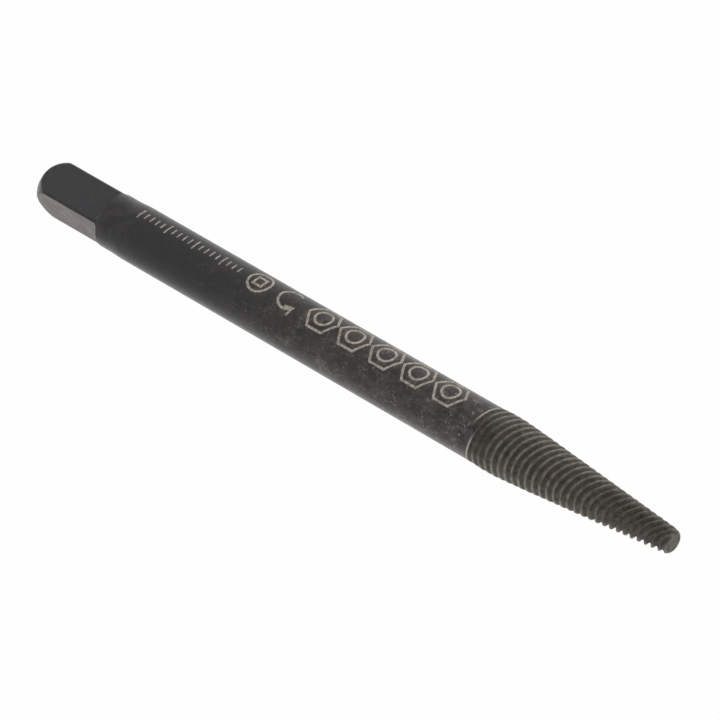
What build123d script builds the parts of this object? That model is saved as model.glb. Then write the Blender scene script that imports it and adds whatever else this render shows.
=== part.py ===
from build123d import *
import math
import os

# A screw extractor, one piece of hardened steel. It stands on its drive end at Z = 0, with its axis on Z:
# a square drive, a neck, a long round shank and a tapered, four-start, left-hand rolled thread.
# Lengths are in millimetres and angles in degrees.

# Whole tool
overall_length = 110.0
shank_diameter = 8.0

# Square drive: its corners are left at the shank's own diameter, and its flats end on the cutter's radius
drive_length = 12.1
drive_across_flats = 5.9
drive_end_face_diameter = 5.6
drive_bevel_length = 2.1
flat_end_radius = 0.6
corner_end_length = 0.5

# Neck, slightly under the shank's diameter, and the cone that leads from it to the full shank
neck_diameter = 7.8
neck_length = 2.1
neck_cone_length = 1.9

# Left-hand thread: low parallel ridges at first, then a taper down to the tip, along which they grow deeper
thread_zone_length = 31.3
thread_starts = 4
ridge_spacing = 1.084
depth_at_shank = 0.12
depth_at_tip = 0.48
deepening_length = 15.5
crest_land = 0.12
root_land = 0.18
crest_rise = 0.14
crest_diameter_at_tip = 3.4
parallel_length = 4.0
taper_blend_length = 1.5
thread_turned_by = 12.8

# Where the thread begins: ridges rise out of the shank, and the grooves between them start with a small step
crest_fade_length = 1.8
groove_start = 1.1

# Tip
tip_bevel_length = 1.6
tip_bevel_below_root = 0.05

# How finely a helix is drawn, how far a body passes the one that trims it, and the turns to spare at each end
points_per_turn = 12
overlap = 0.3
spare_turns = 1.3

shank_radius = shank_diameter / 2
crest_radius = shank_radius + crest_rise
thread_start = overall_length - thread_zone_length
taper_start = thread_start + parallel_length
taper_slope = (crest_radius - crest_diameter_at_tip / 2) / (overall_length - taper_start)
deepening_start = overall_length - deepening_length
deepening_slope = (depth_at_tip - depth_at_shank) / deepening_length
lead = thread_starts * ridge_spacing


def blended(past):
    """0 before a place and the distance past it after, blended where they meet."""
    return (past + math.hypot(past, taper_blend_length)) / 2


def blended_slope(past):
    """How fast that distance grows."""
    return (1 + past / math.hypot(past, taper_blend_length)) / 2


def radius_at(z, share):
    """Radius of the thread at a height, on a line that lies a given share of its depth below the crests."""
    z = min(z, overall_length)
    depth = depth_at_shank + deepening_slope * blended(z - deepening_start)
    return crest_radius - taper_slope * blended(z - taper_start) - share * depth


def slope_at(z, share):
    """How fast that radius changes with height."""
    if z > overall_length:
        return 0.0
    deepening = deepening_slope * blended_slope(z - deepening_start)
    return -taper_slope * blended_slope(z - taper_start) - share * deepening


def helix_turn(start_height, share):
    """One left-hand turn of such a line."""
    angles = [2 * math.pi * step / points_per_turn for step in range(points_per_turn + 1)]
    points = []
    for angle in angles:
        height = start_height + lead * angle / (2 * math.pi)
        radius = radius_at(height, share)
        points.append(Vector(radius * math.cos(angle), -radius * math.sin(angle), height))
    rise = lead / (2 * math.pi)
    ends = (points[0], points[-1])
    tangents = [Vector(slope_at(end.Z, share) * rise, -end.X, rise) for end in ends]
    return Edge.make_spline(points, tangents=tangents, parameters=angles, scale=False)


def thread_lines():
    """The (height, share of the depth) of each line of the thread's section, over one lead."""
    flank = (ridge_spacing - crest_land - root_land) / 2
    ridge = [(0, 0), (crest_land, 0), (crest_land + flank, 1), (crest_land + flank + root_land, 1)]
    lines = [(start * ridge_spacing + z, share) for start in range(thread_starts) for z, share in ridge]
    return lines + [(lead, 0)]


def bar_end(base):
    """The flat zigzag face and the helical face that together close the threaded bar at one end."""
    foot = Vector(0, 0, base)
    top = Vector(0, 0, base + lead)
    section = [Vector(radius_at(base + height, share), 0, base + height) for height, share in thread_lines()]
    zigzag = Face(Wire(Polyline(foot, *section, top, close=True).edges()))
    ramp = Face.make_surface_from_curves(Edge.make_line(foot, top), helix_turn(base, 0))
    return [zigzag, ramp]


def threaded_bar():
    """A bar with the thread all along it, longer at both ends than the thread that is kept."""
    base = thread_start - spare_turns * lead
    turns = math.ceil((overall_length - base) / lead + spare_turns - 1)
    faces = bar_end(base) + bar_end(base + turns * lead)
    for turn in range(turns):
        edges = [helix_turn(base + turn * lead + height, share) for height, share in thread_lines()]
        faces += [Face.make_surface_from_curves(low, high) for low, high in zip(edges, edges[1:])]
    return Solid(Shell(faces)).rotate(Axis.Z, thread_turned_by)


def turned(outline):
    """A solid of revolution about Z."""
    return revolve(Face(Wire(outline.edges())), Axis.Z)


def thread_envelope():
    """What the bar is trimmed to: a cone out of which the ridges rise, and a bevel at the tip."""
    rise_slope = crest_rise / crest_fade_length
    inner_z = thread_start - overlap
    outer_z = thread_start + crest_fade_length + overlap / rise_slope
    bevel_z = overall_length - tip_bevel_length
    bevel_radius = radius_at(bevel_z, 0)
    tip_radius = radius_at(overall_length, 1) - tip_bevel_below_root
    bevel_slope = (bevel_radius - tip_radius) / tip_bevel_length
    clear = overlap / (bevel_slope - taper_slope)
    outline = Polyline(
        (0, 0, inner_z),
        (shank_radius - overlap * rise_slope, 0, inner_z),
        (crest_radius + overlap, 0, outer_z),
        (bevel_radius + bevel_slope * clear, 0, bevel_z - clear),
        (tip_radius, 0, overall_length),
        (0, 0, overall_length),
        close=True,
    )
    return turned(outline)


def blank():
    """The turned blank, from the drive end to the step at which the thread's grooves begin."""
    end_radius = drive_end_face_diameter / 2
    neck_radius = neck_diameter / 2
    ball_centre_z = (shank_radius**2 - end_radius**2 + drive_bevel_length**2) / (2 * drive_bevel_length)
    ball_radius = math.hypot(end_radius, ball_centre_z)
    middle_z = drive_bevel_length / 2
    middle_radius = math.sqrt(ball_radius**2 - (ball_centre_z - middle_z) ** 2)
    corner_z = drive_length - flat_end_radius
    neck_top = drive_length + neck_length
    groove_z = thread_start + groove_start
    bevel_end = (shank_radius, 0, drive_bevel_length)
    bevel = ThreePointArc((end_radius, 0, 0), (middle_radius, 0, middle_z), bevel_end)
    side = Polyline(
        bevel_end,
        (shank_radius, 0, corner_z),
        (neck_radius, 0, corner_z + corner_end_length),
        (neck_radius, 0, neck_top),
        (shank_radius, 0, neck_top + neck_cone_length),
        (shank_radius, 0, groove_z),
        (0, 0, groove_z),
        (0, 0, 0),
        (end_radius, 0, 0),
    )
    return turned(bevel + side)


def flat_cutter():
    """What is milled away to leave one flat."""
    width = shank_diameter * 2
    depth = shank_radius
    height = drive_length + overlap
    cutter = Pos(drive_across_flats / 2 + depth / 2, 0, drive_length - height / 2) * Box(depth, width, height)
    inner_end = cutter.edges().filter_by(Axis.Y).group_by(Axis.X)[0].sort_by(Axis.Z)[-1]
    return fillet(inner_end, flat_end_radius)


def screw_extractor():
    """The whole tool."""
    thread = threaded_bar() & thread_envelope()
    cutter = flat_cutter()
    return blank() + thread - [cutter.rotate(Axis.Z, 90 * side) for side in range(4)]


os.makedirs("parts", exist_ok=True)
tool = screw_extractor()
solid = tool.solids()[0]
export_step(solid, "parts/screw_extractor.step")
box = solid.bounding_box()
print("solids", len(tool.solids()), "volume", round(solid.volume, 1), "box", box.min, box.max)
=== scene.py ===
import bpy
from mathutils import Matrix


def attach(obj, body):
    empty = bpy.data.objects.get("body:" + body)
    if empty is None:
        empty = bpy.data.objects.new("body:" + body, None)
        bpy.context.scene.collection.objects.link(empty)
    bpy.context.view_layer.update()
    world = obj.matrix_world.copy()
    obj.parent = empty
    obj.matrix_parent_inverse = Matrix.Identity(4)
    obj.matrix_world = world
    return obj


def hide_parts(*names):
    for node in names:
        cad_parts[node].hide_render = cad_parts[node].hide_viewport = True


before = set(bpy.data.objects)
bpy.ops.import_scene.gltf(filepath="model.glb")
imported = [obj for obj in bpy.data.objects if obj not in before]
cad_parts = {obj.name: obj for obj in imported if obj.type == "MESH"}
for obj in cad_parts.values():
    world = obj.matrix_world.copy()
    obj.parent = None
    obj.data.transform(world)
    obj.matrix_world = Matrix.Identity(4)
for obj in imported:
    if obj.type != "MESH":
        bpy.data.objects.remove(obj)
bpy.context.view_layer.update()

import math

import bpy
import numpy as np
from mathutils import Matrix, Vector

# A screw extractor that stands on its drive end, with its axis on Z. Lengths are in millimetres, as in the
# CAD source, and become metres where a mesh is made. Angles around the tool start at +X.
MM = 0.001

# Whole tool
LENGTH = 110.0
SHANK_R = 4.0

# Square drive: a ball-shaped bevel at its end, round corners, and flats that end on the cutter's radius.
# Where there are no flats, their distance is set to more than any radius
END_FACE_R = 2.8
BEVEL_LENGTH = 2.1
FLAT_HALF_WIDTH = 2.95
FLAT_EDGE_ROUNDING = 0.035
DRIVE_LENGTH = 12.1
FLAT_END_R = 0.6
FLAT_END_TURN = math.radians(84)
FLATS_END = DRIVE_LENGTH - FLAT_END_R
CORNER_END_LENGTH = 0.5
NO_FLAT = 9.0

# Neck, and the cone that leads from it to the shank, eased by a share of its length at both ends
NECK_R = 3.9
NECK_TOP = DRIVE_LENGTH + 2.1
NECK_CONE_TOP = NECK_TOP + 1.9
NECK_CONE_EASE = 0.15

# Left-hand thread: low parallel ridges at first, then a taper down to the tip
THREAD_START = LENGTH - 31.3
STARTS = 4
RIDGE_SPACING = 1.084
LEAD = STARTS * RIDGE_SPACING
CREST_RISE = 0.14
CREST_R = SHANK_R + CREST_RISE
CREST_R_AT_TIP = 1.7
TAPER_START = THREAD_START + 4.0
TAPER_BLEND = 1.5
TAPER_SLOPE = (CREST_R - CREST_R_AT_TIP) / (LENGTH - TAPER_START)
THREAD_BASE = THREAD_START - 1.3 * LEAD
THREAD_TURNED_BY = math.radians(12.8)
RIDGE_SHIFT = 0.04

# Shape of a ridge: its flank, as shares of half the spacing, and its depth, which two stretches of the tool
# add to (how much, from one height, to another)
FLANK_FROM = 0.08
FLANK_TO = 0.95
DEPTH_AT_SHANK = 0.08
DEEPENINGS = ((0.07, 86.0, 95.0), (0.31, 94.0, 102.5))
SHALLOWER_AT_TIP = 0.6
SHALLOWER_FROM = LENGTH - 1.6
SHALLOWER_TO = LENGTH - 0.2

# Run-in of the thread, as distances past its start. The front, which the camera faces, is this far before +X.
# The ridges rise late on the side a fifth of a radian past the front and on the one opposite
FRONT = math.radians(67.15)
LATE_SIDE = 0.2
LATE_BY = 1.1
LATE_SHARPNESS = 3
RIDGES_RISE_FROM = 0.3
RIDGES_RISE_TO = 2.2
GROOVES_FROM = 0.25
GROOVE_SLOPE = 0.12
GROOVES_LATE_SHARE = 0.5
RUN_IN_ROUNDING = 0.05
SHANK_TO = 0.1
RUN_IN_FROM = 0.5

# The fine raised line that the rolling leaves before the ridges, four times around the tool. It slants like
# them, and its lengths around the tool are in degrees
LINE_PLACE = 0.6
LINE_WIDTH = 0.12
LINE_HEIGHT = 0.035
LINE_STRENGTH = 0.8
LINE_STRENGTH_RANGE = (0.3, 1.0)
QUARTER = 90.0
LINE_GROWS_OVER = 30
LINE_FADES_FROM = 60
LINE_FADES_TO = 105
LINE_FADES_BY = 0.85
MATT_CLOSES_OVER = 26
MATT_SOFTNESS = 0.1
MATT_SOFTER_BY = 0.6

# Tip: a small flat with a rounded edge, which opens beyond its length so that it leaves the thread alone
TIP_FLAT_R = 1.1
TIP_EDGE_LENGTH = 1.1
TIP_EDGE_WIDTH = 0.7
TIP_EDGE_OPENING = 0.5
TIP_EDGE_BLEND = 0.08

# The line on each ridge, partly worn bare steel and partly a painted highlight. Its place past the ridge's
# top swings with the angle from the front, as a highlight on the lit ridges would. It is missing in patches
# at the run-in, and wider and duller near the tip
BARE_AND_HIGHLIGHT_PLACE = 0.53
HIGHLIGHT_SWING = 0.56
HIGHLIGHT_SKEW = 0.12
BARE_BEFORE = 0.3
BARE_AFTER = 0.42
BARE_CENTRE = 0.05
BARE_FROM = 0.1
BARE_TO = 0.9
BARE_MISSING = 0.8
MISSING_SHARPNESS = 4
MISSING_UNTIL = 2.8
MISSING_SLOPE = 0.4
MISSING_LOW = -0.3
MISSING_HIGH = 0.4
NEAR_TIP = (94.0, 103.0)
WIDER_NEAR_TIP = 0.25
DULLER_NEAR_TIP = 0.3
TIP_FLAT_BARE = 0.38

# Wear of the round surface at the drive's end, and how far inside it a flat counts as one
END_WEAR = 0.4
END_WEAR_FROM = 0.9
ON_FLAT = (-0.02, 0.04)

# Rings of points from the end face to the neck, close together where the surface curves or turns a corner:
# radii on the end face, (radius, height) at its edge, then heights, distances past a height, or counts
END_FACE_RINGS = (0.9, 1.8, 2.4, 2.68)
END_EDGE_RINGS = ((2.76, 0.006), (2.815, 0.03))
BEVEL_RINGS = (0.09, 0.2, 0.35, 0.55, 0.8, 1.05, 1.3, 1.55, 1.8, 1.95, 2.05)
RINGS_PAST_BEVEL = (0.03, 0.2, 0.7, 1.5, 2.5, 3.5, 4.5, 5.5, 6.5, 7.5, 8.5)
RINGS_BEFORE_FLATS_END = (0.3, 0.1)
FLATS_END_RINGS = 10
RINGS_PAST_DRIVE = (0.1, 0.4, 0.9, 1.4, 1.9)
NECK_CONE_RINGS = 8

# The step where the flats end: how far below the neck's radius and past the drive, and half the width there
STEP_RINGS = (
    (0.0, -0.002, FLAT_HALF_WIDTH + FLAT_END_R - 0.02),
    (0.012, 0.004, NO_FLAT),
    (0.0, 0.03, NO_FLAT),
)

# Heights of the rings along the shank and the thread, and the rings of the tip: what share of its flat's
# radius each one has, and how far below the end it lies
FIRST_SHANK_RING = NECK_CONE_TOP + 0.3
SHANK_RINGS = np.arange(NECK_CONE_TOP + 1.0, THREAD_START - 1.6, 1.0)
RINGS_PER_RIDGE = 14
THREAD_RINGS = np.arange(THREAD_START - 1.3, LENGTH - 0.03, RIDGE_SPACING / RINGS_PER_RIDGE)
TIP_RINGS = ((1.09, 0.006), (1.0, 0.0), (0.8, 0.0), (0.5, 0.0), (0.25, 0.0))

# Columns of points around the tool, in degrees: more of them where a flat of the drive meets a round corner
COLUMN_STEP = 2.5
COLUMN_COUNT = 144
CORNER_ANGLE = 42.5
CORNER_OFFSETS = (-1.1, -0.45, 0.4, 0.95)

# Etched signs in a row along the shank, at one angle. They reach from just under its surface to just over it.
# A circle's count is that of its points
MARK_ANGLE = math.radians(-108.0)
MARK_LOW = SHANK_R - 0.02
MARK_HIGH = SHANK_R + 0.006
MARK_WIDTH = 0.36
MARK_STEP = 0.16
SHARPEST_MITRE = 0.5
SCALE_START = 17.2
SCALE_TICKS = 19
TICK_WIDTH = 0.24
TICK = 1.1
LONG_TICK = 1.9
LONG_TICK_EVERY = 5
SIGN_R = 1.75
DRIVE_SIGN_PLACE = 38.9
DRIVE_SIGN_SQUARE_R = 1.0
DRIVE_SIGN_COUNT = 32
ARROW_PLACE = 44.4
ARROW_COUNT = 36
ARROW_HEAD = ((-1.2, 0.15), (0.1, -0.1), (-0.15, 1.2))
BOLT_HEADS_START = 50.3
BOLT_HEADS = 5
BOLT_HEAD_STEP = 5.55
BOLT_HEAD_R = 2.5
BOLT_R = 1.25
BOLT_COUNT = 24

# Colours of the blackened shank and drive
BLACK = (0.002, 0.002, 0.003)
CLEAN_BLACK = (0.005, 0.004, 0.004)
HANDLED_BLACK = (0.042, 0.031, 0.025)
BROWNED_BLACK = (0.062, 0.046, 0.037)
SMOKY_BLACK = (0.032, 0.026, 0.022)
SCUFF = (0.36, 0.31, 0.27)
SPECK = (0.42, 0.37, 0.33)
SCRATCH = (0.2, 0.18, 0.165)
FLAT_DARK = (0.014, 0.012, 0.015)
FLAT_LIGHT = (0.023, 0.0205, 0.024)
# The flat that faces +X: brown streaks, painted lighter for the light it catches
BROWN_LIT_FLAT_DARK = (0.028, 0.012, 0.008)
BROWN_LIT_FLAT_LIGHT = (0.074, 0.055, 0.049)

# Colours of the thread, of worn edges and of the etched signs
THREAD_DARK = (0.066, 0.063, 0.0575)
THREAD_LIGHT = (0.13, 0.121, 0.108)
THREAD_BROWN = (0.135, 0.103, 0.079)
BARE_STEEL_AND_HIGHLIGHT = (0.31, 0.287, 0.257)
WORN_STEEL = (0.5, 0.47, 0.43)
ETCHED = (0.43, 0.385, 0.335)
ETCHED_DULL = (0.2, 0.175, 0.155)

# Gloss
BLACK_ROUGHNESS = (0.22, 0.31)
FLAT_SMOOTHER_BY = 0.08
THREAD_ROUGHNESS = 0.9
GRAIN_ROUGHNESS = 0.08
THREAD_METAL = 0.95
OXIDE_IOR = 1.46
WORN_SHARE = 0.85
MOTTLE_BUMP = 0.6
GRAIN_BUMP = 0.25
BUMP_STRENGTH = 0.25
BUMP_DISTANCE = 0.04 * MM

# Studio, in metres, watts and degrees
WHITE = (1.0, 1.0, 1.0)
WORLD_LIGHT = 0.9
FLOOR_HALF = 3.0
FLOOR_PAPER = (0.28, 0.32)
FLOOR_SEEN_WHITE = 0.985
LAMP_ELEVATION = 15.0
LAMP_DISTANCE = 0.8
LAMP_SIZE = 0.7

# Camera, in millimetres
CAMERA_PLACE = Vector((259.108, -614.89, 465.292))
CAMERA_AIM = Vector((-0.204, -0.086, 56.398))
CAMERA_UP = Vector((-0.696757, -0.577157, -0.425933))
CAMERA_LENS = 300.0
CAMERA_SENSOR = 36.0
CAMERA_NEAR = 10.0
CAMERA_FAR = 50000.0


def smooth(x, low, high):
    """0 below low, 1 above high, and an S-curve between them."""
    t = np.clip((x - low) / (high - low), 0.0, 1.0)
    return t * t * (3 - 2 * t)


def soft_min(a, b, width):
    """The smaller of two, with the corner between them rounded over a width."""
    h = np.clip(0.5 + 0.5 * (b - a) / width, 0.0, 1.0)
    return b + (a - b) * h - width * h * (1 - h)


def one_side(angle, sharpness):
    """1 where the angle is 0, and less and less away from there."""
    return np.exp(sharpness * (np.cos(angle) - 1))


class Ripple:
    """A smooth random field over the height and the angle of the tool, mostly smaller than the amount."""

    WAVES = 14
    SPREAD = 0.6

    def __init__(self, seed, per_mm, around, amount):
        random = np.random.default_rng(seed)
        self.around = random.integers(-around, around + 1, self.WAVES)
        self.along = random.uniform(-per_mm, per_mm, self.WAVES) * 2 * math.pi
        self.phase = random.uniform(0, 2 * math.pi, self.WAVES)
        self.scale = math.sqrt(2.0 / self.WAVES) * self.SPREAD * amount

    def __call__(self, z, angle):
        total = 0.0
        for around, along, phase in zip(self.around, self.along, self.phase):
            total = total + np.sin(around * angle + along * z + phase)
        return total * self.scale


ridge_wobble = Ripple(11, 0.22, 3, 0.035)
depth_wobble = Ripple(12, 0.5, 5, 0.06)
crest_wobble = Ripple(13, 0.9, 9, 0.012)
run_in_wobble = Ripple(14, 0.15, 3, 0.4)
line_wobble = Ripple(15, 0.0, 4, 0.02)
line_strength_wobble = Ripple(16, 0.0, 6, 0.4)
missing_wobble = Ripple(17, 0.3, 4, 0.6)


def bevel_radius(z):
    """Radius of the ball-shaped bevel at the drive's end."""
    centre_z = (SHANK_R**2 - END_FACE_R**2 + BEVEL_LENGTH**2) / (2 * BEVEL_LENGTH)
    ball_radius = math.hypot(END_FACE_R, centre_z)
    return math.sqrt(ball_radius**2 - (centre_z - z) ** 2)


def flats_end_rings():
    """The rings along which the flats run out on the cutter's radius and the corners drop to the neck."""
    slope = (SHANK_R - NECK_R) / CORNER_END_LENGTH
    rings = []
    for step in range(1, FLATS_END_RINGS + 1):
        turn = FLAT_END_TURN * step / FLATS_END_RINGS
        past = FLAT_END_R * math.sin(turn)
        half_width = FLAT_HALF_WIDTH + FLAT_END_R * (1 - math.cos(turn))
        rings.append((max(NECK_R, SHANK_R - slope * past), FLATS_END + past, half_width))
    for below, past, half_width in STEP_RINGS:
        rings.append((NECK_R - below, DRIVE_LENGTH + past, half_width))
    return rings


def neck_cone_rings():
    """The rings from the neck to the shank, eased at both ends."""
    rings = []
    for step in range(NECK_CONE_RINGS + 1):
        share = step / NECK_CONE_RINGS
        rise = float(smooth(share, -NECK_CONE_EASE, 1 + NECK_CONE_EASE))
        z = NECK_TOP + (NECK_CONE_TOP - NECK_TOP) * share
        rings.append((NECK_R + (SHANK_R - NECK_R) * rise, z, NO_FLAT))
    rings.append((SHANK_R, FIRST_SHANK_RING, NO_FLAT))
    return rings


def drive_rings():
    """(radius, height, half width between flats) of each ring from the end face to the shank."""
    rings = [(radius, 0.0, FLAT_HALF_WIDTH) for radius in END_FACE_RINGS]
    rings += [(radius, z, FLAT_HALF_WIDTH) for radius, z in END_EDGE_RINGS]
    rings += [(bevel_radius(z), z, FLAT_HALF_WIDTH) for z in BEVEL_RINGS]
    rings += [(SHANK_R, BEVEL_LENGTH + past, FLAT_HALF_WIDTH) for past in RINGS_PAST_BEVEL]
    rings += [(SHANK_R, FLATS_END - before, FLAT_HALF_WIDTH) for before in RINGS_BEFORE_FLATS_END]
    rings += flats_end_rings()
    rings += [(NECK_R, DRIVE_LENGTH + past, NO_FLAT) for past in RINGS_PAST_DRIVE]
    return rings + neck_cone_rings()


def crest_radius(z):
    """Radius over the ridges: parallel, then a cone, with a blend between them."""
    past = z - TAPER_START
    return CREST_R - TAPER_SLOPE * (past + np.hypot(past, TAPER_BLEND)) / 2


def thread_depth(z):
    """Depth of the grooves, which grows towards the tip and fades at its very end."""
    depth = DEPTH_AT_SHANK + sum(deeper * smooth(z, low, high) for deeper, low, high in DEEPENINGS)
    return depth * (1 - SHALLOWER_AT_TIP * smooth(z, SHALLOWER_FROM, SHALLOWER_TO))


def to_nearest_ridge(distance):
    """A distance less the whole ridge spacings in it, so that it is at most half a spacing either way."""
    return np.mod(distance + RIDGE_SPACING / 2, RIDGE_SPACING) - RIDGE_SPACING / 2


def past_ridge(z, angle):
    """How far each point lies past its ridge's top, towards the tip."""
    turned = LEAD * (angle - THREAD_TURNED_BY) / (2 * math.pi)
    return to_nearest_ridge(z - THREAD_BASE + turned + RIDGE_SHIFT + ridge_wobble(z, angle))


def thread_radius(z, angle):
    """Radius of the full thread, as if it had no run-in and no rounded tip."""
    off_ridge = np.abs(past_ridge(z, angle)) / (RIDGE_SPACING / 2)
    sunk = smooth(off_ridge, FLANK_FROM, FLANK_TO) * (1 + depth_wobble(z, angle))
    return crest_radius(z) + crest_wobble(z, angle) - thread_depth(z) * sunk


def run_in_shift(z, angle):
    """How much earlier the thread rises at each point. It is less than 0 where the thread is late."""
    return run_in_wobble(z, angle) - LATE_BY * one_side(2 * (angle + FRONT - LATE_SIDE), LATE_SHARPNESS)


def run_in(radius, along, shift):
    """The thread's radius where its ridges rise out of the shank and its grooves sink into it."""
    ridge_top = SHANK_R + CREST_RISE * smooth(along + shift, RIDGES_RISE_FROM, RIDGES_RISE_TO)
    sunk = GROOVE_SLOPE * np.maximum(0.0, along + GROOVES_LATE_SHARE * shift - GROOVES_FROM)
    radius = soft_min(radius, ridge_top, RUN_IN_ROUNDING)
    radius = -soft_min(-radius, sunk - SHANK_R, RUN_IN_ROUNDING)
    return SHANK_R + (radius - SHANK_R) * smooth(along, SHANK_TO, RUN_IN_FROM)


def raised_line(z, angle):
    """How much of the fine raised line there is at each point, from 0 to 1."""
    past_start = np.mod(np.degrees(angle + FRONT), QUARTER)
    off_line = z - THREAD_START - LINE_PLACE + RIDGE_SPACING * past_start / QUARTER + line_wobble(z, angle)
    which = np.clip(np.round(off_line / RIDGE_SPACING), 0, 1)
    begun = QUARTER - past_start + QUARTER * which
    strength = smooth(begun, 0, LINE_GROWS_OVER)
    strength = strength * (1 - LINE_FADES_BY * smooth(begun, LINE_FADES_FROM, LINE_FADES_TO))
    strength = strength * np.clip(LINE_STRENGTH + line_strength_wobble(z, angle), *LINE_STRENGTH_RANGE)
    return np.exp(-(((off_line - which * RIDGE_SPACING) / LINE_WIDTH) ** 2)) * strength


def matt_share(along, angle):
    """1 where the rolling has left the surface matt and 0 on the shank. The edge follows the raised line."""
    past_start = np.mod(np.degrees(angle + FRONT), QUARTER)
    closed = smooth(past_start, 0, MATT_CLOSES_OVER)
    edge = LINE_PLACE - RIDGE_SPACING * (1 - closed + past_start / QUARTER * closed)
    return smooth(along - edge, 0.0, MATT_SOFTNESS + MATT_SOFTER_BY * (1 - closed))


def rounded_tip(radius, z):
    """The thread's radius, cut down at the tip to a rounded edge around the flat."""
    inside = (LENGTH - z) / TIP_EDGE_LENGTH
    edge = np.sqrt(1 - np.clip(1 - inside, 0.0, 1.0) ** 2) + TIP_EDGE_OPENING * np.maximum(0.0, inside - 1)
    return soft_min(radius, TIP_FLAT_R + TIP_EDGE_WIDTH * edge, TIP_EDGE_BLEND)


def bare_share(z, angle, shift):
    """1 along the line low on each ridge's side, partly bare steel and partly a painted highlight, and 0 off
    it.
    """
    along = z - THREAD_START
    facing = angle + FRONT
    near_tip = smooth(z, *NEAR_TIP)
    width = 1 + WIDER_NEAR_TIP * near_tip
    # Painted highlight: the line's place follows the angle from the front, where a highlight on the ridges
    # would fall
    centre = BARE_AND_HIGHLIGHT_PLACE + HIGHLIGHT_SWING * np.sin(facing) ** 2 - HIGHLIGHT_SKEW * np.sin(2 * facing)
    off = to_nearest_ridge(past_ridge(z, angle) - centre) / width
    line = np.where(off < 0, smooth(off, -BARE_BEFORE, 0.0), smooth(-off, -BARE_AFTER, -BARE_CENTRE))
    late = MISSING_SLOPE * (along - MISSING_UNTIL)
    patches = 1 - smooth(missing_wobble(z, angle) + late, MISSING_LOW, MISSING_HIGH)
    missing = BARE_MISSING * patches * one_side(facing - LATE_SIDE, MISSING_SHARPNESS)
    begun = smooth(along + GROOVES_LATE_SHARE * shift, BARE_FROM, BARE_TO)
    return line * (1 - DULLER_NEAR_TIP * near_tip) * begun * (1 - missing)


def placed(name, data):
    """A new object in the scene."""
    thing = bpy.data.objects.new(name, data)
    bpy.context.scene.collection.objects.link(thing)
    return thing


class RingMesh:
    """A closed mesh of rings around Z, built from the foot up, with values for its material at each point."""

    def __init__(self, value_names):
        self.points = []
        self.rings = []
        self.values = {name: [] for name in value_names}

    def add_ring(self, angles, radii, z, **values):
        """Adds a ring of points. A value that isn't given is 0."""
        self.rings.append((len(self.points), len(angles)))
        for angle, radius in zip(angles, np.broadcast_to(radii, len(angles))):
            self.points.append((radius * math.cos(angle) * MM, radius * math.sin(angle) * MM, z * MM))
        for name, kept in self.values.items():
            kept.extend(np.broadcast_to(values.get(name, 0.0), len(angles)))

    def band(self, low, high, is_main):
        """The faces between two rings, of which the higher may have only the lower one's main columns."""
        (low_first, low_count), (high_first, high_count) = low, high
        starts = [j for j in range(low_count) if low_count == high_count or is_main[j]] + [low_count]
        faces = []
        for j in range(high_count):
            bottom = [low_first + n % low_count for n in range(starts[j], starts[j + 1] + 1)]
            faces.append((*bottom, high_first + (j + 1) % high_count, high_first + j))
        return faces

    def build(self, name, is_main):
        """The object, closed at both ends. The first and last ring are single points."""
        faces = []
        for low, high in zip(self.rings[1:-2], self.rings[2:-1]):
            faces += self.band(low, high, is_main)
        (foot, _), (first, count) = self.rings[:2]
        faces += [(foot, first + (j + 1) % count, first + j) for j in range(count)]
        (last, count), (top, _) = self.rings[-2:]
        faces += [(top, last + j, last + (j + 1) % count) for j in range(count)]
        mesh = bpy.data.meshes.new(name)
        mesh.from_pydata(self.points, [], faces)
        mesh.validate()
        for value_name, kept in self.values.items():
            attribute = mesh.attributes.new(value_name, "FLOAT", "POINT")
            attribute.data.foreach_set("value", np.array(kept, np.float32))
        mesh.shade_smooth()
        return placed(name, mesh)


def columns():
    """The angles around the drive, and which of them go on along the whole tool."""
    main = [COLUMN_STEP * k for k in range(COLUMN_COUNT)]
    extra = []
    for quarter in range(4):
        for side in (-1, 1):
            for offset in CORNER_OFFSETS:
                extra.append((quarter * QUARTER + side * CORNER_ANGLE + offset) % 360)
    fine = sorted(main + extra)
    return fine, [angle in main for angle in fine]


def build_tool():
    """The whole tool as one closed mesh, with more columns at the drive square's corners than elsewhere."""
    fine, is_main = columns()
    body = RingMesh(("bare", "flat", "wear", "matt"))
    body.add_ring([0.0], 0.0, 0.0)

    angles = np.radians(np.array(fine))
    off_flat = (angles + math.pi / 4) % (math.pi / 2) - math.pi / 4
    for radius, z, half_width in drive_rings():
        flat_radius = half_width / np.cos(off_flat)
        on_flat = smooth(radius - flat_radius, *ON_FLAT)
        radii = soft_min(radius, flat_radius, FLAT_EDGE_ROUNDING)
        wear = END_WEAR * (1 - on_flat) * (1 - smooth(z, END_WEAR_FROM, BEVEL_LENGTH))
        body.add_ring(angles, radii, z, flat=on_flat, wear=wear)

    angles = angles[is_main]
    for z in SHANK_RINGS:
        body.add_ring(angles, SHANK_R, z)

    for z in THREAD_RINGS:
        along = z - THREAD_START
        shift = run_in_shift(z, angles)
        line = raised_line(z, angles)
        radii = run_in(thread_radius(z, angles), along, shift) + LINE_HEIGHT * line
        bare = bare_share(z, angles, shift)
        body.add_ring(angles, rounded_tip(radii, z), z, bare=bare, wear=line, matt=matt_share(along, angles))
    for share, below in TIP_RINGS:
        body.add_ring(angles, TIP_FLAT_R * share, LENGTH - below, bare=TIP_FLAT_BARE, matt=1.0)
    body.add_ring([0.0], 0.0, LENGTH, bare=TIP_FLAT_BARE, matt=1.0)
    return body.build("screw_extractor_body", is_main)


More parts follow.
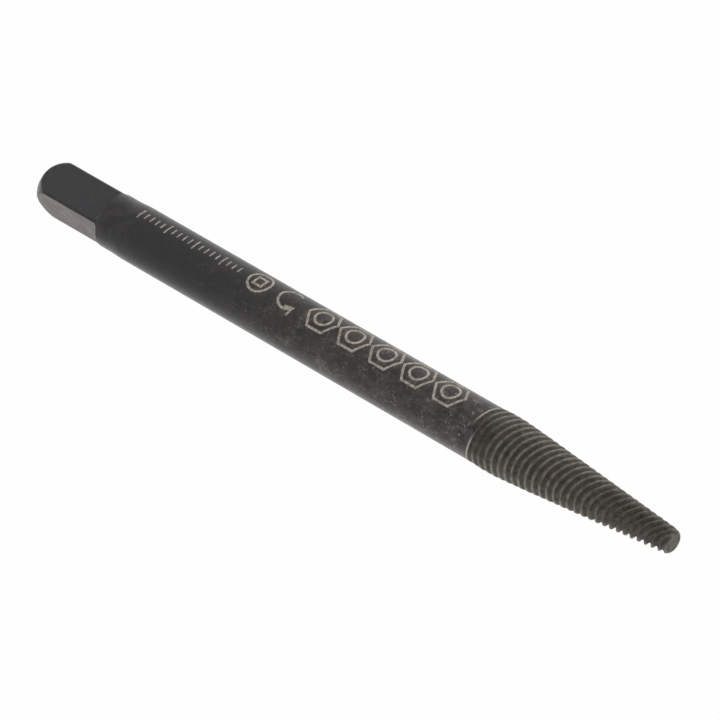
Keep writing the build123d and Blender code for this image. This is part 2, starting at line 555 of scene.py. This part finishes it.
class Strokes:
    """Thin closed strips drawn on the unrolled shank, with x along the tool and y around it."""

    SECTION = ((-1, MARK_LOW), (1, MARK_LOW), (1, MARK_HIGH), (-1, MARK_HIGH))

    def __init__(self):
        self.points = []
        self.faces = []

    @staticmethod
    def finely(corners, closed):
        """The same line with points at most a step apart."""
        ends = corners[1:] + corners[:1] if closed else corners[1:]
        line = []
        for (x0, y0), (x1, y1) in zip(corners, ends):
            count = max(1, math.ceil(math.hypot(x1 - x0, y1 - y0) / MARK_STEP))
            line += [(x0 + (x1 - x0) * k / count, y0 + (y1 - y0) * k / count) for k in range(count)]
        return line if closed else line + corners[-1:]

    @staticmethod
    def sideways(line, k, closed, width):
        """From a point of a line to the edge of its strip, so that the strip keeps its width around bends."""
        before = line[k - 1] if closed or k > 0 else line[k]
        after = line[(k + 1) % len(line)] if closed or k < len(line) - 1 else line[k]
        into = Vector((line[k][0] - before[0], line[k][1] - before[1]))
        out = Vector((after[0] - line[k][0], after[1] - line[k][1]))
        into = into.normalized() if into.length > 0 else out.normalized()
        out = out.normalized() if out.length > 0 else into
        along = (into + out).normalized()
        return Vector((-along.y, along.x)) * (width / 2 / max(SHARPEST_MITRE, along.dot(out)))

    def draw(self, corners, closed=False, width=MARK_WIDTH):
        """Adds a strip along a line."""
        line = self.finely(corners, closed)
        first = len(self.points)
        for k, (x, y) in enumerate(line):
            side = self.sideways(line, k, closed, width)
            for sign, radius in self.SECTION:
                z = x + sign * side.x
                angle = MARK_ANGLE + (y + sign * side.y) / SHANK_R
                self.points.append((radius * math.cos(angle) * MM, radius * math.sin(angle) * MM, z * MM))
        count = len(line)
        for k in range(count if closed else count - 1):
            a, b = first + 4 * k, first + 4 * ((k + 1) % count)
            self.faces += [(a + i, a + (i + 1) % 4, b + (i + 1) % 4, b + i) for i in range(4)]
        if not closed:
            last = first + 4 * (count - 1)
            self.faces.append((first + 3, first + 2, first + 1, first))
            self.faces.append((last, last + 1, last + 2, last + 3))


def points_around(x, radius, count, turned=0.0):
    """Points spread evenly around a place in the row of signs."""
    turns = [turned + 2 * math.pi * k / count for k in range(count)]
    return [(x + radius * math.cos(turn), radius * math.sin(turn)) for turn in turns]


def build_marks():
    """Plain etched signs of its use: a scale, a square drive, an arrow that turns left and bolt heads."""
    strokes = Strokes()
    for k in range(SCALE_TICKS):
        reach = LONG_TICK if k % LONG_TICK_EVERY == 0 else TICK
        strokes.draw([(SCALE_START + k, -reach / 2), (SCALE_START + k, reach / 2)], width=TICK_WIDTH)

    strokes.draw(points_around(DRIVE_SIGN_PLACE, SIGN_R, DRIVE_SIGN_COUNT), closed=True)
    strokes.draw(points_around(DRIVE_SIGN_PLACE, DRIVE_SIGN_SQUARE_R, 4, math.pi / 4), closed=True)

    three_quarters = points_around(ARROW_PLACE, SIGN_R, ARROW_COUNT, math.pi / 4)[: ARROW_COUNT * 3 // 4]
    strokes.draw(three_quarters)
    x, y = three_quarters[0]
    strokes.draw([(x + dx, y + dy) for dx, dy in ARROW_HEAD])

    for k in range(BOLT_HEADS):
        x = BOLT_HEADS_START + BOLT_HEAD_STEP * k
        strokes.draw(points_around(x, BOLT_HEAD_R, 6), closed=True)
        strokes.draw(points_around(x, BOLT_R, BOLT_COUNT), closed=True)

    mesh = bpy.data.meshes.new("etched_marks")
    mesh.from_pydata(strokes.points, [], strokes.faces)
    mesh.validate()
    return placed("etched_marks", mesh)


class Nodes:
    """Short names for building the nodes of a material or of the world."""

    def __init__(self, owner):
        owner.use_nodes = True
        self.owner = owner
        self.tree = owner.node_tree
        self.tree.nodes.clear()

    def set(self, socket, value):
        """Links a socket to another one, or gives it a constant value."""
        if isinstance(value, bpy.types.NodeSocket):
            self.tree.links.new(value, socket)
        elif socket.type == "RGBA":
            socket.default_value = (*value, 1.0)
        else:
            socket.default_value = value

    def add(self, kind, **inputs):
        """The first output of a new node."""
        node = self.tree.nodes.new(kind)
        for name, value in inputs.items():
            self.set(node.inputs[name.replace("_", " ")], value)
        return node.outputs[0]

    def math(self, operation, a, b):
        node = self.tree.nodes.new("ShaderNodeMath")
        node.operation = operation
        self.set(node.inputs[0], a)
        self.set(node.inputs[1], b)
        return node.outputs[0]

    def product(self, first, *others):
        for other in others:
            first = self.math("MULTIPLY", first, other)
        return first

    def ramp(self, value, low, high, to_low=0.0, to_high=1.0):
        """An S-curve from one value below low to another above high."""
        node = self.tree.nodes.new("ShaderNodeMapRange")
        node.interpolation_type = "SMOOTHSTEP"
        for index, number in enumerate((value, low, high, to_low, to_high)):
            self.set(node.inputs[index], number)
        return node.outputs[0]

    def mix(self, share, a, b):
        """One colour where the share is 0 and another where it is 1, by way of the sockets for colours."""
        node = self.tree.nodes.new("ShaderNodeMix")
        node.data_type = "RGBA"
        for index, value in ((0, share), (6, a), (7, b)):
            self.set(node.inputs[index], value)
        return node.outputs[2]

    def place(self, stretch=(1, 1, 1)):
        """Object coordinates in millimetres, stretched."""
        coordinate = self.tree.nodes.new("ShaderNodeTexCoord")
        mapping = self.tree.nodes.new("ShaderNodeMapping")
        mapping.inputs["Scale"].default_value = [share / MM for share in stretch]
        self.tree.links.new(coordinate.outputs["Object"], mapping.inputs["Vector"])
        return mapping.outputs["Vector"]

    def noise(self, scale, detail, rough, stretch=(1, 1, 1), twist=0.0):
        vector = self.place(stretch)
        inputs = {"Vector": vector, "Scale": scale, "Detail": detail, "Roughness": rough, "Distortion": twist}
        return self.add("ShaderNodeTexNoise", **inputs)

    def ramp_along(self, axis, low, high):
        """0 before one place along an axis of the tool and 1 after another, in millimetres."""
        node = self.tree.nodes.new("ShaderNodeSeparateXYZ")
        self.set(node.inputs[0], self.place())
        return self.ramp(node.outputs[axis], low, high)

    def attribute(self, name):
        node = self.tree.nodes.new("ShaderNodeAttribute")
        node.attribute_name = name
        return node.outputs["Fac"]

    def seen(self):
        """1 where the camera, a gloss or a glass sees the surface, and 0 where it only gives light."""
        path = self.tree.nodes.new("ShaderNodeLightPath").outputs
        seen = self.math("MAXIMUM", path["Is Camera Ray"], path["Is Glossy Ray"])
        return self.math("MAXIMUM", seen, path["Is Transmission Ray"])

    def finish(self, shader, kind="ShaderNodeOutputMaterial"):
        output = self.tree.nodes.new(kind)
        self.tree.links.new(shader, output.inputs["Surface"])
        return self.owner


def shank_color(n, mottle):
    """Black, and towards the thread browner, scuffed, speckled and scratched. It is smoky at the neck."""
    handled = n.ramp_along("Z", low=18.0, high=82.0)
    color = n.mix(n.ramp(mottle, low=0.34, high=0.66), BLACK, n.mix(handled, CLEAN_BLACK, HANDLED_BLACK))
    browned = n.ramp(n.noise(scale=0.32, detail=4.0, rough=0.55), low=0.42, high=0.7, to_high=0.6)
    color = n.mix(n.product(browned, handled), color, BROWNED_BLACK)

    scuffed = n.ramp(n.noise(scale=0.45, detail=6.0, rough=0.78), low=0.5, high=0.64, to_high=0.6)
    broken_up = n.ramp(n.noise(scale=3.2, detail=4.0, rough=0.6), low=0.4, high=0.66)
    color = n.mix(n.product(scuffed, broken_up, handled), color, SCUFF)
    speckled = n.ramp(n.noise(scale=2.8, detail=1.0, rough=0.4), low=0.68, high=0.78, to_high=0.6)
    color = n.mix(n.product(speckled, handled), color, SPECK)

    along = n.ramp(n.noise(scale=1.0, detail=2.0, rough=0.5, stretch=(8, 8, 0.5)), low=0.62, high=0.7)
    around_it = n.ramp(n.noise(scale=1.0, detail=2.0, rough=0.5, stretch=(1.4, 1.4, 9)), low=0.64, high=0.72)
    scratched = n.product(n.math("MAXIMUM", along, around_it), n.ramp(mottle, low=0.42, high=0.6))
    scratched = n.product(scratched, n.ramp(handled, low=0.0, high=0.3, to_low=0.1, to_high=0.35))
    color = n.mix(scratched, color, SCRATCH)

    smoky = n.ramp(n.noise(scale=0.7, detail=3.0, rough=0.55), low=0.42, high=0.62, to_high=0.6)
    return n.mix(n.product(smoky, n.ramp_along("Z", low=24.0, high=13.0)), color, SMOKY_BLACK)


def flats_color(n, mottle):
    """Clean black on the flats of the drive. The one that faces +X has brown streaks and is painted lighter
    than the others, for the light that falls on it.
    """
    plain = n.mix(n.ramp(mottle, low=0.3, high=0.7), FLAT_DARK, FLAT_LIGHT)
    streaks = n.ramp(n.noise(scale=0.9, detail=4.0, rough=0.6, stretch=(1, 1, 0.6)), low=0.36, high=0.64)
    # Painted light: the flat that faces +X is lighter than the other flats, as lit, with brown streaks
    brown_and_lit = n.mix(streaks, BROWN_LIT_FLAT_DARK, BROWN_LIT_FLAT_LIGHT)
    return n.mix(n.ramp_along("X", low=FLAT_HALF_WIDTH - 0.1, high=FLAT_HALF_WIDTH - 0.02), plain, brown_and_lit)


def thread_color(n, mottle):
    """Matt grey with brown stains, and along the ridges a line that is partly bare steel and partly a painted
    highlight.
    """
    color = n.mix(n.ramp(mottle, low=0.32, high=0.68), THREAD_DARK, THREAD_LIGHT)
    stained = n.ramp(n.noise(scale=0.55, detail=4.0, rough=0.6), low=0.5, high=0.66, to_high=0.6)
    color = n.mix(stained, color, THREAD_BROWN)
    rubbed = n.ramp(n.noise(scale=1.3, detail=4.0, rough=0.6), low=0.35, high=0.6, to_low=0.4)
    # The line along the ridges is partly bare steel and partly a painted highlight
    return n.mix(n.product(n.attribute("bare"), rubbed), color, BARE_STEEL_AND_HIGHLIGHT)


def black_steel():
    """Blackened steel: glossy on the shank and the flats, matt in the thread, and worn bare at some edges. It
    has a painted highlight along the ridges, and painted light on the drive's flat that faces +X.
    """
    n = Nodes(bpy.data.materials.new("blackened_steel"))
    flat, matt = n.attribute("flat"), n.attribute("matt")
    mottle = n.noise(scale=1.6, detail=5.0, rough=0.62, stretch=(1, 1, 0.6), twist=0.4)
    grain = n.noise(scale=9.0, detail=3.0, rough=0.6)
    color = n.mix(flat, shank_color(n, mottle), flats_color(n, mottle))
    color = n.mix(matt, color, thread_color(n, mottle))
    color = n.mix(n.product(n.attribute("wear"), WORN_SHARE), color, WORN_STEEL)

    low_rough, high_rough = BLACK_ROUGHNESS
    rough = n.ramp(mottle, low=0.3, high=0.7, to_low=low_rough, to_high=high_rough)
    rough = n.math("SUBTRACT", rough, n.product(flat, FLAT_SMOOTHER_BY))
    rough = n.math("ADD", rough, n.product(matt, n.math("SUBTRACT", THREAD_ROUGHNESS, rough)))
    rough = n.math("ADD", rough, n.product(grain, GRAIN_ROUGHNESS))
    height = n.math("ADD", n.product(mottle, MOTTLE_BUMP), n.product(grain, GRAIN_BUMP))
    normal = n.add("ShaderNodeBump", Height=height, Strength=BUMP_STRENGTH, Distance=BUMP_DISTANCE)
    metal = n.product(matt, THREAD_METAL)
    look = {"Base_Color": color, "Metallic": metal, "Roughness": rough, "Normal": normal, "IOR": OXIDE_IOR}
    return n.finish(n.add("ShaderNodeBsdfPrincipled", **look))


def etched_steel():
    """Where a laser has burnt the black off: pale, dull and broken up."""
    n = Nodes(bpy.data.materials.new("laser_etched_steel"))
    dull = n.ramp(n.noise(scale=3.2, detail=4.0, rough=0.65), low=0.4, high=0.64)
    color = n.mix(dull, ETCHED, ETCHED_DULL)
    rough = n.ramp(dull, low=0.0, high=1.0, to_low=0.6, to_high=0.5)
    return n.finish(n.add("ShaderNodeBsdfPrincipled", Base_Color=color, Metallic=0.9, Roughness=rough))


def studio_floor():
    """A sweep of paper that is seen as white, also in reflections, and keeps a soft shadow."""
    n = Nodes(bpy.data.materials.new("studio_floor"))
    dark, light = FLOOR_PAPER
    paper = n.ramp(n.noise(scale=0.02, detail=2.0, rough=0.5), low=0.3, high=0.7, to_low=dark, to_high=light)
    color = n.add("ShaderNodeCombineColor", Red=paper, Green=paper, Blue=paper)
    mixed = n.tree.nodes.new("ShaderNodeMixShader")
    n.set(mixed.inputs[0], n.product(n.seen(), FLOOR_SEEN_WHITE))
    n.set(mixed.inputs[1], n.add("ShaderNodeBsdfDiffuse", Color=color))
    n.set(mixed.inputs[2], n.add("ShaderNodeEmission", Color=WHITE, Strength=1.0))
    return n.finish(mixed.outputs[0])


def white_world():
    """White where it is seen, also in reflections, and a plain level of light elsewhere."""
    n = Nodes(bpy.data.worlds.new("white_studio"))
    strength = n.ramp(n.seen(), low=0.0, high=1.0, to_low=WORLD_LIGHT, to_high=1.0)
    background = n.add("ShaderNodeBackground", Color=WHITE, Strength=strength)
    return n.finish(background, "ShaderNodeOutputWorld")


def aimed(position, target, up):
    """The matrix of a lamp or camera at a position, looking at a target."""
    back = (position - target).normalized()
    right = up.cross(back).normalized()
    above = back.cross(right)
    turn = Matrix((right, above, back)).transposed().to_4x4()
    return Matrix.Translation(position) @ turn


def add_lamp(name, azimuth, power):
    """A soft square lamp that looks at the middle of the tool. Its azimuth is counted from -Y towards +X."""
    turn, rise = math.radians(azimuth), math.radians(LAMP_ELEVATION)
    middle = Vector((0, 0, LENGTH / 2 * MM))
    away = Vector((math.sin(turn) * math.cos(rise), -math.cos(turn) * math.cos(rise), math.sin(rise)))
    light = bpy.data.lights.new(name, "AREA")
    light.shape = "SQUARE"
    light.size = LAMP_SIZE
    light.energy = power
    placed(name, light).matrix_world = aimed(middle + away * LAMP_DISTANCE, middle, Vector((0, 0, 1)))


def add_floor():
    """A large flat floor under the tool."""
    corners = [(x * FLOOR_HALF, y * FLOOR_HALF, 0) for x, y in ((-1, -1), (1, -1), (1, 1), (-1, 1))]
    mesh = bpy.data.meshes.new("floor")
    mesh.from_pydata(corners, [], [(0, 1, 2, 3)])
    mesh.materials.append(studio_floor())
    return placed("floor", mesh)


def add_camera():
    """The camera, far off and with a long lens, so that the view is the photo's."""
    data = bpy.data.cameras.new("camera")
    data.sensor_width = CAMERA_SENSOR
    data.lens = CAMERA_LENS
    data.clip_start = CAMERA_NEAR * MM
    data.clip_end = CAMERA_FAR * MM
    camera = placed("camera", data)
    camera.matrix_world = aimed(CAMERA_PLACE * MM, CAMERA_AIM * MM, CAMERA_UP)
    return camera


tool = build_tool()
tool.data.materials.append(black_steel())
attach(tool, "root")
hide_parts("screw_extractor")

marks = build_marks()
marks.data.materials.append(etched_steel())
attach(marks, "root")

floor = add_floor()

add_lamp("upper_softbox", azimuth=-70.0, power=4.4)
add_lamp("lower_softbox", azimuth=130.0, power=5.3)

scene = bpy.context.scene
scene.world = white_world()
scene.camera = add_camera()
scene.view_settings.view_transform = "Standard"
